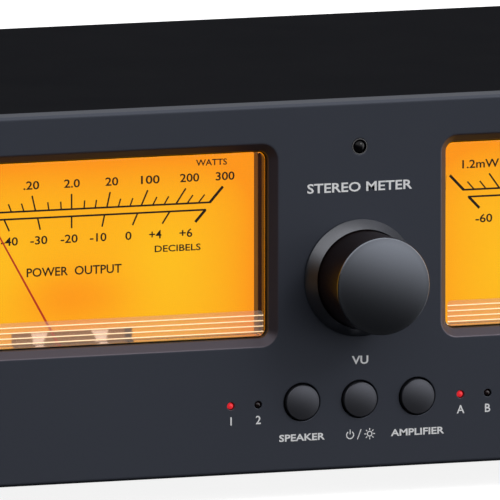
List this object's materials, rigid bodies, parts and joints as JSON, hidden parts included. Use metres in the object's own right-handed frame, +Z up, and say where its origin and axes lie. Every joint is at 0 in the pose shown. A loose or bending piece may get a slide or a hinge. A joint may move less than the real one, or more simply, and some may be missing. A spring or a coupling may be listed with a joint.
{
  "type": "amplifier and speaker selector with power meters",
  "caption": "Wide shallow audio box: thick front panel with backlit needle meters either side of a knob, push buttons and lamps below, binding posts behind.",
  "frame": {"origin": "on the table, under the middle of the whole outline", "axes": "+X to the right seen from the front, front faces -Y, +Z up"},
  "size_m": [0.26, 0.1846, 0.0913],
  "materials": {
    "panel_anodised": "satin slate-blue anodised, bead blasted",
    "cover_paint": "fine matt black powder coat",
    "steel_paint": "matt black powder coat",
    "rubber_foot": "matt moulded rubber",
    "knob_metal": "spun satin anodised with a cut bright edge",
    "ring_metal": "turned satin anodised",
    "bright_steel": "plated steel",
    "button_plastic": "satin moulded caps",
    "black_plastic": "black moulding",
    "lamp_red_lit": "lit red lamp",
    "lamp_red_dark": "unlit red lamp",
    "eye_plastic": "polished dark dome",
    "clear_plastic": "clear acrylic with ribs",
    "dial_paper": "amber dial lit from behind",
    "needle_red": "thin red painted pointer",
    "circuit_board": "green solder mask",
    "cap_red": "red nut cap",
    "cap_black": "black nut cap"
  },
  "bodies": {
    "chassis": {"front_panel": "panel_anodised", "top_cover": "cover_paint", "rear_panel": "steel_paint", "bottom_plate": "steel_paint", "knob_ring": "ring_metal", "potentiometer": "bright_steel", "remote_eye": "eye_plastic", "control_board": "circuit_board", "relay_board": "circuit_board", "power_socket": "black_plastic", "foot_front_left": "rubber_foot", "foot_front_right": "rubber_foot", "foot_rear_left": "rubber_foot", "foot_rear_right": "rubber_foot", "speaker_switch": "black_plastic", "power_switch": "black_plastic", "amplifier_switch": "black_plastic", "speaker_1_lamp": "lamp_red_lit", "speaker_1_relay": "black_plastic", "speaker_1_block": "black_plastic", "speaker_2_lamp": "lamp_red_dark", "speaker_2_relay": "black_plastic", "speaker_2_block": "black_plastic", "amplifier_a_lamp": "lamp_red_lit", "amplifier_a_relay": "black_plastic", "amplifier_a_block": "black_plastic", "amplifier_b_lamp": "lamp_red_dark", "amplifier_b_relay": "black_plastic", "amplifier_b_block": "black_plastic", "left_meter_cover": "clear_plastic", "left_dial_plate": "dial_paper", "left_meter_housing": "black_plastic", "left_movement": "bright_steel", "right_meter_cover": "clear_plastic", "right_dial_plate": "dial_paper", "right_meter_housing": "black_plastic", "right_movement": "bright_steel"},
    "knob": {"sensitivity_knob": "knob_metal", "knob_shaft": "bright_steel"},
    "speaker_button": {"speaker_button": "button_plastic"},
    "power_button": {"power_button": "button_plastic"},
    "amplifier_button": {"amplifier_button": "button_plastic"},
    "left_needle": {"left_needle": "needle_red"},
    "right_needle": {"right_needle": "needle_red"},
    "speaker_1_cap_left_minus": {"speaker_1_cap_left_minus": "cap_black"},
    "speaker_1_cap_left_plus": {"speaker_1_cap_left_plus": "cap_red"},
    "speaker_1_cap_right_minus": {"speaker_1_cap_right_minus": "cap_black"},
    "speaker_1_cap_right_plus": {"speaker_1_cap_right_plus": "cap_red"},
    "speaker_2_cap_left_minus": {"speaker_2_cap_left_minus": "cap_black"},
    "speaker_2_cap_left_plus": {"speaker_2_cap_left_plus": "cap_red"},
    "speaker_2_cap_right_minus": {"speaker_2_cap_right_minus": "cap_black"},
    "speaker_2_cap_right_plus": {"speaker_2_cap_right_plus": "cap_red"},
    "amplifier_a_cap_left_minus": {"amplifier_a_cap_left_minus": "cap_black"},
    "amplifier_a_cap_left_plus": {"amplifier_a_cap_left_plus": "cap_red"},
    "amplifier_a_cap_right_minus": {"amplifier_a_cap_right_minus": "cap_black"},
    "amplifier_a_cap_right_plus": {"amplifier_a_cap_right_plus": "cap_red"},
    "amplifier_b_cap_left_minus": {"amplifier_b_cap_left_minus": "cap_black"},
    "amplifier_b_cap_left_plus": {"amplifier_b_cap_left_plus": "cap_red"},
    "amplifier_b_cap_right_minus": {"amplifier_b_cap_right_minus": "cap_black"},
    "amplifier_b_cap_right_plus": {"amplifier_b_cap_right_plus": "cap_red"}
  },
  "joints": [
    {"name": "knob_turn", "type": "hinge", "parent": "chassis", "child": "knob", "pos_m": [0, -0.0763, 0.05065], "axis": [0, -1, 0], "range_deg": [-150, 150]},
    {"name": "speaker_press", "type": "slide", "parent": "chassis", "child": "speaker_button", "axis": [0, 1, 0], "range_m": [0, 0.0008], "stiffness_N_per_m": 800},
    {"name": "power_press", "type": "slide", "parent": "chassis", "child": "power_button", "axis": [0, 1, 0], "range_m": [0, 0.0008], "stiffness_N_per_m": 800},
    {"name": "amplifier_press", "type": "slide", "parent": "chassis", "child": "amplifier_button", "axis": [0, 1, 0], "range_m": [0, 0.0008], "stiffness_N_per_m": 800},
    {"name": "left_needle_swing", "type": "hinge", "parent": "chassis", "child": "left_needle", "pos_m": [-0.0654, -0.0665, 0.03095], "axis": [0, 1, 0], "range_deg": [-14, 71], "stiffness_Nm_per_rad": 0.004},
    {"name": "right_needle_swing", "type": "hinge", "parent": "chassis", "child": "right_needle", "pos_m": [0.0654, -0.0665, 0.03095], "axis": [0, 1, 0], "range_deg": [-14, 71], "stiffness_Nm_per_rad": 0.004},
    {"name": "speaker_1_cap_left_minus_unscrew", "type": "slide", "parent": "chassis", "child": "speaker_1_cap_left_minus", "axis": [0, 1, 0], "range_m": [0, 0.003]},
    {"name": "speaker_1_cap_left_plus_unscrew", "type": "slide", "parent": "chassis", "child": "speaker_1_cap_left_plus", "axis": [0, 1, 0], "range_m": [0, 0.003]},
    {"name": "speaker_1_cap_right_minus_unscrew", "type": "slide", "parent": "chassis", "child": "speaker_1_cap_right_minus", "axis": [0, 1, 0], "range_m": [0, 0.003]},
    {"name": "speaker_1_cap_right_plus_unscrew", "type": "slide", "parent": "chassis", "child": "speaker_1_cap_right_plus", "axis": [0, 1, 0], "range_m": [0, 0.003]},
    {"name": "speaker_2_cap_left_minus_unscrew", "type": "slide", "parent": "chassis", "child": "speaker_2_cap_left_minus", "axis": [0, 1, 0], "range_m": [0, 0.003]},
    {"name": "speaker_2_cap_left_plus_unscrew", "type": "slide", "parent": "chassis", "child": "speaker_2_cap_left_plus", "axis": [0, 1, 0], "range_m": [0, 0.003]},
    {"name": "speaker_2_cap_right_minus_unscrew", "type": "slide", "parent": "chassis", "child": "speaker_2_cap_right_minus", "axis": [0, 1, 0], "range_m": [0, 0.003]},
    {"name": "speaker_2_cap_right_plus_unscrew", "type": "slide", "parent": "chassis", "child": "speaker_2_cap_right_plus", "axis": [0, 1, 0], "range_m": [0, 0.003]},
    {"name": "amplifier_a_cap_left_minus_unscrew", "type": "slide", "parent": "chassis", "child": "amplifier_a_cap_left_minus", "axis": [0, 1, 0], "range_m": [0, 0.003]},
    {"name": "amplifier_a_cap_left_plus_unscrew", "type": "slide", "parent": "chassis", "child": "amplifier_a_cap_left_plus", "axis": [0, 1, 0], "range_m": [0, 0.003]},
    {"name": "amplifier_a_cap_right_minus_unscrew", "type": "slide", "parent": "chassis", "child": "amplifier_a_cap_right_minus", "axis": [0, 1, 0], "range_m": [0, 0.003]},
    {"name": "amplifier_a_cap_right_plus_unscrew", "type": "slide", "parent": "chassis", "child": "amplifier_a_cap_right_plus", "axis": [0, 1, 0], "range_m": [0, 0.003]},
    {"name": "amplifier_b_cap_left_minus_unscrew", "type": "slide", "parent": "chassis", "child": "amplifier_b_cap_left_minus", "axis": [0, 1, 0], "range_m": [0, 0.003]},
    {"name": "amplifier_b_cap_left_plus_unscrew", "type": "slide", "parent": "chassis", "child": "amplifier_b_cap_left_plus", "axis": [0, 1, 0], "range_m": [0, 0.003]},
    {"name": "amplifier_b_cap_right_minus_unscrew", "type": "slide", "parent": "chassis", "child": "amplifier_b_cap_right_minus", "axis": [0, 1, 0], "range_m": [0, 0.003]},
    {"name": "amplifier_b_cap_right_plus_unscrew", "type": "slide", "parent": "chassis", "child": "amplifier_b_cap_right_plus", "axis": [0, 1, 0], "range_m": [0, 0.003]}
  ]
}
